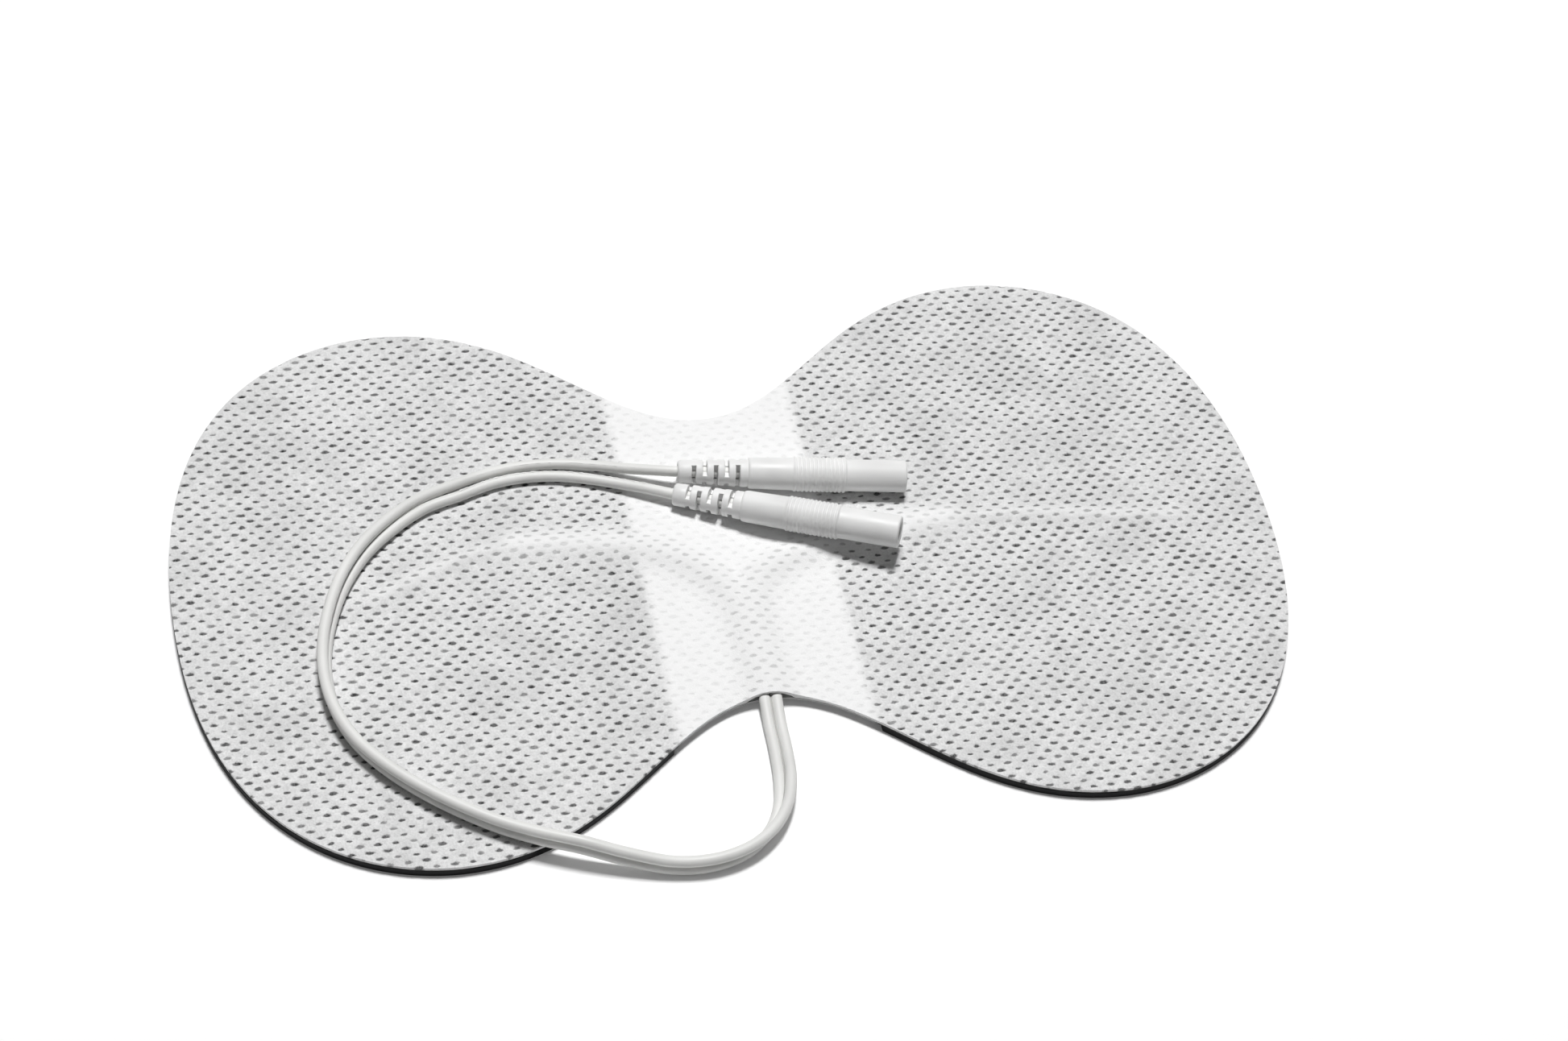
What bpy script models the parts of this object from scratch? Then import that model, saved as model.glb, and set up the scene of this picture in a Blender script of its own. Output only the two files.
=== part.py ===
"""A butterfly electrode pad with a twin lead and two pin sockets, lying on a flat surface.

Metres, +Z up. The origin is under the middle of the pad, +X runs along its length and the lead
leaves the waist on the -Y side.
"""

import math

import bmesh
import bpy
from mathutils import Matrix, Vector

MM = 0.001

# The pad's outline, one quarter of it as two Bezier stretches
PAD_LENGTH = 150 * MM
PAD_WIDTH = 91 * MM
WAIST_WIDTH = 49 * MM
LOBE_CREST_X = 43 * MM
END_HANDLE = 42 * MM
SHOULDER_HANDLE = 7 * MM
FLANK_HANDLE = 21.5 * MM
WAIST_HANDLE = 14 * MM
OUTLINE_STEPS = 14

# The layers, from the skin side up
GEL_THICKNESS = 1.0 * MM
FILM_THICKNESS = 0.2 * MM
FABRIC_THICKNESS = 0.4 * MM
STRIP_THICKNESS = 0.25 * MM
BOND_GAP = 0.02 * MM
FILM_SPACING = 26.4 * MM
GEL_SETBACK = 0.6 * MM
STRIP_GAP = 0.4 * MM

# The leads
WIRE_DIAMETER = 1.5 * MM
WIRE_PITCH = 1.6 * MM
CONDUCTOR_DIAMETER = 0.6 * MM
LEAD_RISE = 0.3 * MM
LEAD_CLEARANCE = 0.1 * MM
LEAD_JOINT_GAP = 0.3 * MM
TWIN_RIDGE_RADIUS = 6.0 * MM
RIDGE_RADIUS = 2.6 * MM
CONDUCTOR_RIDGE_RADIUS = 1.6 * MM
FADE = (0.85, 0.7, 0.55)
FADE_STEP = 1.5 * MM
LYING_GAP = 0.05 * MM
PARTING_Y = -8.5 * MM
PARTING_LAP = 6 * MM
TENT_LAP = 0.5 * MM
TUBE_STEP = 3.0
TUBE_SIDES = 2
TENT_SIDES = 10
FORM_DEPTH = 12 * MM

# The connectors, along their axis from the strain relief to the mouth
HOUSING_LENGTH = 31.4 * MM
RELIEF_LENGTH = 9.6 * MM
RELIEF_BACK_DIAMETER = 3.1 * MM
RELIEF_FRONT_DIAMETER = 3.9 * MM
BODY_LENGTH = 6.2 * MM
BODY_BACK_DIAMETER = 4.3 * MM
BODY_FRONT_DIAMETER = 4.5 * MM
GRIP_LENGTH = 7.3 * MM
GRIP_DIAMETER = 4.84 * MM
GRIP_RIBS = 13
RIB_HEIGHT = 0.12 * MM
BARREL_DIAMETER = 4.4 * MM
EDGE_ROUND = 0.25 * MM
SLOT_COUNT = 5
SLOT_WIDTH = 0.6 * MM
SLOT_PITCH = 1.5 * MM
FIRST_SLOT = 2.2 * MM
SLOT_WEB = 1.0 * MM
MOUTH_DIAMETER = 2.5 * MM
MOUTH_LENGTH = 1.2 * MM
TURNED_STEPS = 24

# The metal sleeve in each connector
CONTACT_DIAMETER = 2.9 * MM
CONTACT_BORE = 2.0 * MM
CONTACT_LENGTH = 12.0 * MM
CONTACT_BORE_DEPTH = 11.0 * MM
CRIMP_DIAMETER = 1.9 * MM
CRIMP_LENGTH = 4.0 * MM
FIT_GAP = 0.15 * MM
END_GAP = 0.3 * MM

# Heights that follow from the layers
FILM_BASE = GEL_THICKNESS + BOND_GAP
LAMINATE = FILM_BASE + FILM_THICKNESS
FABRIC_BASE = LAMINATE + BOND_GAP
FABRIC_TOP = FABRIC_BASE + FABRIC_THICKNESS
INNER_HEIGHT = LAMINATE + LEAD_RISE
CONDUCTOR_HEIGHT = LAMINATE + BOND_GAP + CONDUCTOR_DIAMETER / 2
TABLE_HEIGHT = WIRE_DIAMETER / 2 + LYING_GAP
PAD_HEIGHT = FABRIC_TOP + WIRE_DIAMETER / 2 + LYING_GAP
LEAD_TENT_TOP = INNER_HEIGHT + WIRE_DIAMETER / 2 + LEAD_CLEARANCE + FABRIC_THICKNESS
BARE_TENT_TOP = CONDUCTOR_HEIGHT + CONDUCTOR_DIAMETER / 2 + LEAD_CLEARANCE + FABRIC_THICKNESS

# Routes in plan, in millimetres: each inner lead from the waist's edge to the end of its insulation
INNER_ROUTES = {
    "left": [(-0.8, -24.2), (-0.8, -19), (-0.85, -14), (-1.2, -9.6), (-2.3, -5.8), (-4.6, -2.5),
             (-8.0, 0.2), (-12.0, 2.3), (-16.5, 3.6), (-22, 4.4), (-29.4, 5.0)],
    "right": [(0.8, -24.2), (0.8, -19), (0.75, -14), (0.7, -10), (1.4, -6.6), (3.4, -3.6),
              (6.6, -1.7), (10.4, -0.5), (14.5, 0.8), (19, 1.9), (24, 2.2), (30, 2.3)],
}
CONDUCTOR_ROUTES = {
    "left": [(-29.7, 5.0), (-33, 4.7), (-37, 3.4), (-41.5, 1.6), (-46, -0.5)],
    "right": [(30.3, 2.3), (35, 2.2), (40, 1.9), (45.5, 1.3), (52, 0.2), (60, -0.9)],
}

# The twin lead's middle line from the waist to where its wires part: x, y and how far the twin has
# turned from flat on to its edge there, in degrees
TWIN_ROUTE = [(0, -24.6, 0), (-0.1, -28.5, 0), (-0.2, -33, 5), (-0.6, -37.4, 20), (-1.7, -41.6, 45),
              (-3.9, -45.2, 65), (-7.4, -47.9, 80), (-12, -49.2, 88), (-17.2, -48.9, 90),
              (-23, -47.3, 90), (-28.4, -45.3, 90), (-33.4, -43.2, 90), (-38, -40.8, 88),
              (-42.8, -37.5, 86), (-47.2, -33.8, 84), (-51, -29.8, 82), (-54, -25.5, 80),
              (-55.9, -20.6, 78), (-56.6, -15.4, 76), (-56.2, -10, 74), (-54.8, -4.6, 70),
              (-52.6, 0.7, 64), (-49.4, 5.6, 56), (-45.3, 9.7, 44), (-40.6, 13, 28)]
PAD_EDGE_FROM = 8
PAD_EDGE_TO = 10

# The parted wires, each with its height above the fabric's top where it lies free of it
PARTED_ROUTES = {
    "right": [(-35.8, 15.9, 0.3), (-31, 17.6, 0), (-26.2, 18.3, 0), (-21.4, 18.1, 0.05),
              (-16.8, 17, 0.3), (-12.6, 15.5, 0.8), (-9.2, 14.3, 1.35)],
    "left": [(-35.2, 14.1, 0), (-30.8, 15.6, 0), (-26.4, 16.2, 0), (-21.8, 15.9, 0),
             (-17.4, 14.8, 0.05), (-13.3, 13.2, 0.25), (-9.9, 11.6, 0.6)],
}

# Each connector: where the middle of its back end lies in plan, in millimetres, the way it points
# and its turn on its own axis, both in degrees
CONNECTORS = {
    "right": {"back": (-5.6, 13.3), "heading": -9, "roll": 80},
    "left": {"back": (-6.6, 10.05), "heading": -24.5, "roll": -14},
}
# How far along the left connector it rests on the tent over the right lead
LEFT_REST = 22 * MM
# Where a wire has its points inside the housing, as shares of its way to the crimp
HOUSED_SHARES = (0.35, 0.7, 1)

COLOURS = {
    "fabric": ((0.87, 0.87, 0.86), 0.9, 0.0),
    "film": ((0.03, 0.03, 0.03), 0.6, 0.0),
    "gel": ((0.09, 0.09, 0.095), 0.3, 0.0),
    "strip": ((0.85, 0.85, 0.84), 0.9, 0.0),
    "wire": ((0.82, 0.82, 0.8), 0.35, 0.0),
    "housing": ((0.84, 0.84, 0.83), 0.4, 0.0),
    "metal": ((0.72, 0.71, 0.69), 0.3, 1.0),
}


def clear_scene():
    for obj in list(bpy.data.objects):
        bpy.data.objects.remove(obj)


def new_collection(name):
    collection = bpy.data.collections.new(name)
    bpy.context.scene.collection.children.link(collection)
    return collection


def new_material(name):
    colour, roughness, metallic = COLOURS[name]
    material = bpy.data.materials.new(name)
    material.use_nodes = True
    shader = material.node_tree.nodes["Principled BSDF"]
    shader.inputs["Base Color"].default_value = (*colour, 1)
    shader.inputs["Roughness"].default_value = roughness
    shader.inputs["Metallic"].default_value = metallic
    return material


def add_object(name, data, collection, material=None):
    obj = bpy.data.objects.new(name, data)
    collection.objects.link(obj)
    if material:
        data.materials.append(material)
    return obj


def as_solid(curve_object, name, collection, material=None):
    """Turns a curve into one closed mesh, with its caps welded on, and removes the curve."""
    bpy.context.view_layer.update()
    graph = bpy.context.evaluated_depsgraph_get()
    mesh = bpy.data.meshes.new_from_object(curve_object.evaluated_get(graph))
    mesh.name = name
    mesh.materials.clear()
    form = bmesh.new()
    form.from_mesh(mesh)
    bmesh.ops.remove_doubles(form, verts=form.verts, dist=1e-7)
    bmesh.ops.recalc_face_normals(form, faces=form.faces)
    form.to_mesh(mesh)
    form.free()
    place = curve_object.matrix_world.copy()
    bpy.data.objects.remove(curve_object)
    solid = add_object(name, mesh, collection, material)
    solid.matrix_world = place
    return solid


def outline_curve(name, bottom, thickness, collection):
    """The butterfly outline as a filled flat curve, extruded up from the bottom height."""
    crest = PAD_WIDTH / 2
    waist = WAIST_WIDTH / 2
    end = PAD_LENGTH / 2
    # Each knot: its place, and the handle that leads on from it, in the first quarter
    knots = [
        ((end, 0), (0, END_HANDLE), (0, -END_HANDLE)),
        ((LOBE_CREST_X, crest), (-FLANK_HANDLE, 0), (SHOULDER_HANDLE, 0)),
        ((0, waist), (-WAIST_HANDLE, 0), (WAIST_HANDLE, 0)),
        ((-LOBE_CREST_X, crest), (-SHOULDER_HANDLE, 0), (FLANK_HANDLE, 0)),
    ]
    # The other half is the same four knots turned by half a turn
    knots += [tuple((-x, -y) for x, y in knot) for knot in knots]
    curve = bpy.data.curves.new(name, "CURVE")
    curve.dimensions = "2D"
    curve.fill_mode = "BOTH"
    curve.extrude = thickness / 2
    curve.resolution_u = OUTLINE_STEPS
    spline = curve.splines.new("BEZIER")
    spline.use_cyclic_u = True
    spline.bezier_points.add(len(knots) - 1)
    for point, (place, ahead, behind) in zip(spline.bezier_points, knots):
        point.co = (*place, 0)
        point.handle_right = (place[0] + ahead[0], place[1] + ahead[1], 0)
        point.handle_left = (place[0] + behind[0], place[1] + behind[1], 0)
    obj = add_object(name, curve, collection)
    obj.location.z = bottom + thickness / 2
    return obj


def outline_slab(name, bottom, thickness, collection, material=None):
    return as_solid(outline_curve(name, bottom, thickness, collection), name, collection, material)


def cut_at_x(obj, x, keep):
    """Cuts a solid along a plane across X, keeps one side (1 or -1) and closes the cut."""
    form = bmesh.new()
    form.from_mesh(obj.data)
    bmesh.ops.bisect_plane(
        form,
        geom=form.verts[:] + form.edges[:] + form.faces[:],
        plane_co=(x, 0, 0),
        plane_no=(-keep, 0, 0),
        clear_outer=True,
    )
    bmesh.ops.holes_fill(form, edges=[edge for edge in form.edges if edge.is_boundary])
    bmesh.ops.recalc_face_normals(form, faces=form.faces)
    form.to_mesh(obj.data)
    form.free()


def smooth_points(route, step):
    """Reads points about a step apart from the smooth curve through a route's points."""
    points = [Vector(point) for point in route]
    before = points[0] * 2 - points[1]
    after = points[-1] * 2 - points[-2]
    ends = [before] + points + [after]
    read = []
    for a, b, c, d in zip(ends, ends[1:], ends[2:], ends[3:]):
        count = max(1, round((c - b).length / step))
        for i in range(count):
            t = i / count
            read.append(
                0.5 * (2 * b + (c - a) * t + (2 * a - 5 * b + 4 * c - d) * t**2
                       + (3 * b - a - 3 * c + d) * t**3)
            )
    read.append(points[-1])
    return read


def tube(name, points, diameter, collection, material=None, tapers=None):
    """A round wire along the points, with filled ends."""
    curve = bpy.data.curves.new(name, "CURVE")
    curve.dimensions = "3D"
    curve.bevel_depth = diameter / 2
    curve.bevel_resolution = TUBE_SIDES
    curve.use_fill_caps = True
    spline = curve.splines.new("POLY")
    spline.points.add(len(points) - 1)
    for i, point in enumerate(points):
        spline.points[i].co = (*point, 1)
        if tapers:
            spline.points[i].radius = tapers[i]
    return add_object(name, curve, collection, material)


def in_plan(route, height):
    return [Vector((x * MM, y * MM, height)) for x, y in route]


def box(name, low, high, collection):
    form = bmesh.new()
    bmesh.ops.create_cube(form, size=1)
    for vert in form.verts:
        vert.co = Vector(
            (high[i] if vert.co[i] > 0 else low[i]) for i in range(3)
        )
    mesh = bpy.data.meshes.new(name)
    form.to_mesh(mesh)
    form.free()
    return add_object(name, mesh, collection)


def combine(obj, other, operation, solver="EXACT"):
    """Adds a Boolean between a piece and a cutter or a helper, which isn't rendered itself."""
    other.hide_render = True
    other.display_type = "WIRE"
    modifier = obj.modifiers.new(f"{operation.lower()} {other.name}", "BOOLEAN")
    modifier.operation = operation
    modifier.solver = solver
    modifier.object = other
    return modifier


def lead_runs(side):
    """The plan points of a side's insulated stretch and of its bare strands, at their heights."""
    insulated = smooth_points(in_plan(INNER_ROUTES[side], INNER_HEIGHT), TUBE_STEP * WIRE_DIAMETER)
    bare = smooth_points(
        in_plan(CONDUCTOR_ROUTES[side], CONDUCTOR_HEIGHT), TUBE_STEP * WIRE_DIAMETER
    )
    return insulated, bare


def past_edge(points, distance):
    """The same run, carried on outwards past its first point."""
    outwards = (points[0] - points[1]).normalized()
    return [points[0] + outwards * distance] + points[1:]


def sunk(points, top, radius):
    """The same run at the depth where a tube of this radius just reaches a height."""
    return [Vector((point.x, point.y, top - radius)) for point in points]


def carried_on(points, steps):
    """The same run, with points added straight on at these distances past its last point."""
    onwards = (points[-1] - points[-2]).normalized()
    return points + [points[-1] + onwards * step for step in steps]


def tent(name, run, top, radius, inset, collection, tapers=None):
    """A tube sunk so that only its crest stands up, inset from the fabric's outer face."""
    inner = radius - inset
    helper = tube(name, sunk(run, top - inset, inner), 2 * inner, collection, tapers=tapers)
    helper.data.bevel_resolution = TENT_SIDES
    return as_solid(helper, name, collection)


def twin_run():
    """The middle line between the two leads, from past the waist's edge to where they part."""
    left, right = (past_edge(lead_runs(side)[0], WIRE_DIAMETER) for side in ("left", "right"))
    middle = [(a + b) / 2 for a, b in zip(left, right)]
    return [point for point in middle if point.y < PARTING_Y]


def parted_run(side):
    """The insulated stretch of one lead past the point where the two part."""
    return [point for point in lead_runs(side)[0] if point.y > PARTING_Y - PARTING_LAP]


def tents(inset, collection):
    """The tents over the twin lead, over each parted lead and over each lead's strands.

    A hollow ends just past its lead, and its ridge ends one thickness of fabric further on.
    """
    kind = "hollow" if inset else "ridge"
    wall = FABRIC_THICKNESS - inset
    twin = carried_on(twin_run(), [TENT_LAP + wall])
    found = [tent(f"twin_{kind}", twin, LEAD_TENT_TOP, TWIN_RIDGE_RADIUS, inset, collection)]
    for side in INNER_ROUTES:
        insulated = parted_run(side)
        lead = carried_on(insulated, [LEAD_JOINT_GAP + wall])
        found.append(
            tent(f"lead_{kind}_{side}", lead, LEAD_TENT_TOP, RIDGE_RADIUS, inset, collection)
        )
        bare = [insulated[-2]] + lead_runs(side)[1]
        strands = carried_on(bare, [FADE_STEP * (i + 1) for i in range(len(FADE))])
        tapers = [1.0] * len(bare) + list(FADE)
        found.append(
            tent(f"strand_{kind}_{side}", strands, BARE_TENT_TOP, CONDUCTOR_RIDGE_RADIUS, inset,
                 collection, tapers)
        )
    return found


def formed_sheet(name, plate_heights, adds, cuts, space, parts, material):
    """A plate with ridges added and hollows cut, then trimmed to the space it fills.

    The plate is wider than the pad, so no face of it lies on a face of the space. The exact solver
    leaves holes where two ridges of one height meet, so the manifold solver is used.
    """
    low, high = plate_heights
    sheet = box(name, (-PAD_LENGTH, -PAD_WIDTH, low), (PAD_LENGTH, PAD_WIDTH, high), parts)
    sheet.data.materials.append(material)
    for helper in adds:
        combine(sheet, helper, "UNION", "MANIFOLD")
    for helper in cuts:
        combine(sheet, helper, "DIFFERENCE", "MANIFOLD")
    combine(sheet, space, "INTERSECT", "MANIFOLD")


def backing_fabric(parts, helpers, material):
    """The top sheet, raised in a tent over each lead and hollow under it."""
    space = outline_slab("fabric_space", FABRIC_BASE, FORM_DEPTH, helpers)
    ridges = tents(0, helpers)
    hollows = tents(FABRIC_THICKNESS, helpers)
    heights = (FABRIC_BASE - FORM_DEPTH, FABRIC_TOP)
    formed_sheet("backing_fabric", heights, ridges, hollows, space, parts, material)


def gutter(side, wall, helpers, name):
    """The tube along an insulated lead, with its clearance and a wall that wide around it."""
    insulated, _ = lead_runs(side)
    run = carried_on(past_edge(insulated, WIRE_DIAMETER), [LEAD_JOINT_GAP + wall])
    width = WIRE_DIAMETER + 2 * (LEAD_CLEARANCE + wall)
    return as_solid(tube(f"{name}_{side}", run, width, helpers), f"{name}_{side}", helpers)


def bedded_sheet(name, thickness, low_x, high_x, sides, parts, helpers, material):
    """A sheet under the laminate plane, dented down around the leads that lie in it."""
    space = outline_slab(f"{name}_space", LAMINATE - FORM_DEPTH, FORM_DEPTH, helpers)
    if low_x is not None:
        cut_at_x(space, low_x, 1)
    if high_x is not None:
        cut_at_x(space, high_x, -1)
    beds = [gutter(side, thickness, helpers, f"{name}_bed") for side in sides]
    channels = [gutter(side, 0, helpers, f"{name}_channel") for side in sides]
    heights = (LAMINATE - thickness, LAMINATE + FORM_DEPTH)
    formed_sheet(name, heights, beds, channels, space, parts, material)


def gel_pad(side, sign, parts, helpers, material):
    """The gel under one film, with a groove where the film is dented by its lead."""
    gel = outline_slab(f"gel_{side}", 0, GEL_THICKNESS, parts, material)
    cut_at_x(gel, sign * (FILM_SPACING / 2 + GEL_SETBACK), sign)
    groove = gutter(side, FILM_THICKNESS + BOND_GAP, helpers, "gel_groove")
    combine(gel, groove, "DIFFERENCE")


def connector_rest(side):
    """The height of a connector's back end, and its tilt: one lies on its grip, the other on its
    strain relief and the tent over the right lead."""
    on_grip = GRIP_DIAMETER / 2 + LYING_GAP
    if side == "right":
        return FABRIC_TOP + on_grip, 0.0
    back = FABRIC_TOP + RELIEF_BACK_DIAMETER / 2 + LYING_GAP
    return back, math.atan2(LEAD_TENT_TOP + on_grip - back, LEFT_REST)


def connector_axis(side):
    """The matrix that puts +Z of a turned piece along a connector, from its back end."""
    pose = CONNECTORS[side]
    height, tilt = connector_rest(side)
    x, y = pose["back"]
    heading = Matrix.Rotation(math.radians(pose["heading"]), 4, "Z")
    lay_down = Matrix.Rotation(math.radians(90) - tilt, 4, "Y")
    roll = Matrix.Rotation(math.radians(pose["roll"]), 4, "Z")
    return Matrix.Translation((x * MM, y * MM, height)) @ heading @ lay_down @ roll


def along_connector(side, distance):
    return connector_axis(side) @ Vector((0, 0, distance))


def turned(name, profile, place, parts, material):
    """A closed profile of (radius, height) pairs, turned about Z. It runs down its outer side."""
    mesh = bpy.data.meshes.new(name)
    rows = [(radius, 0, height) for radius, height in profile]
    edges = [(i, (i + 1) % len(rows)) for i in range(len(rows))]
    open_at_axis = profile[0][0] == 0
    mesh.from_pydata(rows, edges[:-1] if open_at_axis else edges, [])
    obj = add_object(name, mesh, parts, material)
    obj.matrix_world = place
    screw = obj.modifiers.new("turn", "SCREW")
    screw.steps = TURNED_STEPS
    screw.render_steps = TURNED_STEPS
    screw.use_merge_vertices = True
    screw.merge_threshold = 0.01 * MM
    return obj


def grip_profile(low):
    """The ribs from the top down: a crest and a groove for each."""
    pitch = GRIP_LENGTH / GRIP_RIBS
    crest = GRIP_DIAMETER / 2
    rows = []
    for i in reversed(range(GRIP_RIBS)):
        rows.append((crest, low + (i + 0.5) * pitch))
        if i:
            rows.append((crest - RIB_HEIGHT, low + i * pitch))
    return rows


def housing_profile():
    grip_start = RELIEF_LENGTH + BODY_LENGTH
    grip_end = grip_start + GRIP_LENGTH
    barrel = BARREL_DIAMETER / 2
    relief_back = RELIEF_BACK_DIAMETER / 2
    cavity = CONTACT_DIAMETER / 2 + FIT_GAP
    cavity_start = contact_start() - END_GAP
    bore = WIRE_DIAMETER / 2 + FIT_GAP
    mouth = MOUTH_DIAMETER / 2
    outer = [
        (barrel - EDGE_ROUND, HOUSING_LENGTH),
        (barrel, HOUSING_LENGTH - EDGE_ROUND),
        (barrel, grip_end + EDGE_ROUND / 2),
    ]
    outer += grip_profile(grip_start)
    outer += [
        (BODY_FRONT_DIAMETER / 2, grip_start),
        (BODY_BACK_DIAMETER / 2, RELIEF_LENGTH + EDGE_ROUND),
        (BODY_BACK_DIAMETER / 2 - EDGE_ROUND, RELIEF_LENGTH),
        (RELIEF_FRONT_DIAMETER / 2, RELIEF_LENGTH - EDGE_ROUND / 2),
        (relief_back, EDGE_ROUND),
        (relief_back - EDGE_ROUND, 0),
    ]
    inner = [
        (bore, 0),
        (bore, cavity_start),
        (cavity, cavity_start),
        (cavity, HOUSING_LENGTH - MOUTH_LENGTH),
        (mouth, HOUSING_LENGTH - MOUTH_LENGTH),
        (mouth, HOUSING_LENGTH),
    ]
    return outer + inner


def contact_start():
    """How far along the connector the back of the crimp lies."""
    front = HOUSING_LENGTH - MOUTH_LENGTH - END_GAP
    return front - CONTACT_LENGTH - CRIMP_LENGTH


def slot_cutter(side, helpers):
    """Pairs of boxes that leave two webs, each pair a quarter turn from the last."""
    form = bmesh.new()
    reach = RELIEF_FRONT_DIAMETER
    for i in range(SLOT_COUNT):
        turn = Matrix.Rotation(math.radians(90 * (i % 2)), 4, "Z")
        middle = FIRST_SLOT + i * SLOT_PITCH
        for sign in (-1, 1):
            depth = reach - SLOT_WEB / 2
            place = Matrix.Translation((sign * (SLOT_WEB / 2 + depth / 2), 0, middle))
            size = Matrix.Diagonal((depth, 2 * reach, SLOT_WIDTH, 1))
            bmesh.ops.create_cube(form, size=1, matrix=turn @ place @ size)
    mesh = bpy.data.meshes.new(f"relief_slots_{side}")
    form.to_mesh(mesh)
    form.free()
    cutter = add_object(f"relief_slots_{side}", mesh, helpers)
    cutter.matrix_world = connector_axis(side)
    return cutter


def connector(side, parts, helpers, materials):
    place = connector_axis(side)
    housing = turned(
        f"connector_housing_{side}", housing_profile(), place, parts, materials["housing"]
    )
    combine(housing, slot_cutter(side, helpers), "DIFFERENCE")
    start = contact_start()
    crimp_end = start + CRIMP_LENGTH
    front = crimp_end + CONTACT_LENGTH
    outer = CONTACT_DIAMETER / 2
    bore = CONTACT_BORE / 2
    profile = [
        (0, front - CONTACT_BORE_DEPTH),
        (bore, front - CONTACT_BORE_DEPTH),
        (bore, front),
        (outer, front),
        (outer, crimp_end),
        (CRIMP_DIAMETER / 2, crimp_end),
        (CRIMP_DIAMETER / 2, start),
        (0, start),
    ]
    turned(f"socket_contact_{side}", profile, place, parts, materials["metal"])


def twin_middle():
    """The twin lead's middle line with its heights, its lower wire lying on table or pad."""
    middle = []
    for i, (x, y, turn) in enumerate(TWIN_ROUTE):
        share = min(max((i - PAD_EDGE_FROM) / (PAD_EDGE_TO - PAD_EDGE_FROM), 0), 1)
        lying = TABLE_HEIGHT + (PAD_HEIGHT - TABLE_HEIGHT) * share if i else INNER_HEIGHT
        raised = WIRE_PITCH / 2 * math.sin(math.radians(turn))
        middle.append(Vector((x * MM, y * MM, lying + raised)))
    return middle


def free_route(side):
    """The route of one wire, off the twin's middle line, then parted, then in its connector."""
    sign = 1 if side == "right" else -1
    middle = twin_middle()
    route = []
    for i, point in enumerate(middle):
        ahead = middle[min(i + 1, len(middle) - 1)] - middle[max(i - 1, 0)]
        turn = math.radians(TWIN_ROUTE[i][2])
        off_middle = Vector((-ahead.y, ahead.x, 0)).normalized() * math.cos(turn)
        off_middle.z = math.sin(turn)
        route.append(point + off_middle * sign * WIRE_PITCH / 2)
    route += [
        Vector((x * MM, y * MM, PAD_HEIGHT + rise * MM)) for x, y, rise in PARTED_ROUTES[side]
    ]
    wire_end = contact_start() - END_GAP
    route.append(along_connector(side, -END_GAP))
    route += [along_connector(side, wire_end * share) for share in HOUSED_SHARES]
    return route


def leads(side, parts, materials):
    insulated, bare = lead_runs(side)
    tube(f"inner_lead_{side}", insulated, WIRE_DIAMETER, parts, materials["wire"])
    tube(f"conductor_{side}", bare, CONDUCTOR_DIAMETER, parts, materials["metal"])
    route = smooth_points(free_route(side), TUBE_STEP * WIRE_DIAMETER)
    tube(f"lead_wire_{side}", route, WIRE_DIAMETER, parts, materials["wire"])


def main():
    clear_scene()
    parts = new_collection("electrode_pad")
    helpers = new_collection("cutters")
    materials = {name: new_material(name) for name in COLOURS}
    film_edge = FILM_SPACING / 2
    backing_fabric(parts, helpers, materials["fabric"])
    strip_edge = film_edge - STRIP_GAP
    bedded_sheet("waist_strip", STRIP_THICKNESS, -strip_edge, strip_edge, ("left", "right"),
                 parts, helpers, materials["strip"])
    bedded_sheet("carbon_film_left", FILM_THICKNESS, None, -film_edge, ("left",),
                 parts, helpers, materials["film"])
    bedded_sheet("carbon_film_right", FILM_THICKNESS, film_edge, None, ("right",),
                 parts, helpers, materials["film"])
    gel_pad("left", -1, parts, helpers, materials["gel"])
    gel_pad("right", 1, parts, helpers, materials["gel"])
    for side in CONNECTORS:
        leads(side, parts, materials)
        connector(side, parts, helpers, materials)


main()
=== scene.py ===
"""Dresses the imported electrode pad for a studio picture.

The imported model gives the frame. New pieces are modelled around it in metres, +Z up: the embossed
top sheet, the gel, the twin lead and the two pin sockets. The rest of the model keeps its shape
and gets finer materials.
"""

import math
import random

import bpy
import numpy as np
from bpy.props import FloatProperty, FloatVectorProperty, IntProperty, PointerProperty
from mathutils import Matrix, Vector


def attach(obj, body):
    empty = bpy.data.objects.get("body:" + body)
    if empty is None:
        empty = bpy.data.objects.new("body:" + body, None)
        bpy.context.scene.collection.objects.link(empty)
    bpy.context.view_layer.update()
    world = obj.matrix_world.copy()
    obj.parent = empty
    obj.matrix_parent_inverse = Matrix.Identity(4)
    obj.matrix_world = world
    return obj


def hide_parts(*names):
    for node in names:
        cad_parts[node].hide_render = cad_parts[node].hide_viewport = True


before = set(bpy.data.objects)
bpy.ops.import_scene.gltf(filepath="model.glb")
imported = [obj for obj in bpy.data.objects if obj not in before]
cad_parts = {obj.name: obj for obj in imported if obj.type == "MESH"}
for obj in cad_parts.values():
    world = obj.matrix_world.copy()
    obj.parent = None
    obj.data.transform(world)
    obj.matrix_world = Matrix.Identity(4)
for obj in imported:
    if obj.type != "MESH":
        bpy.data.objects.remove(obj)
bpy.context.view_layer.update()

bl_info = {
    "name": "Electrode Pad",
    "version": (1, 0, 0),
    "blender": (4, 5, 0),
    "location": "View3D > Sidebar > Electrode Pad",
    "description": "Builds a butterfly electrode pad with its twin lead and pin sockets",
    "category": "Add Mesh",
}

MM = 0.001
BODY = "root"
SIGNS = {"left": -1, "right": 1}  # which way each side lies from the middle

# How close two corners lie that are merged: doubles, and what Booleans leave
MERGE_DISTANCE = 1e-7
SLIVER_SIZE = 2e-6

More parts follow.
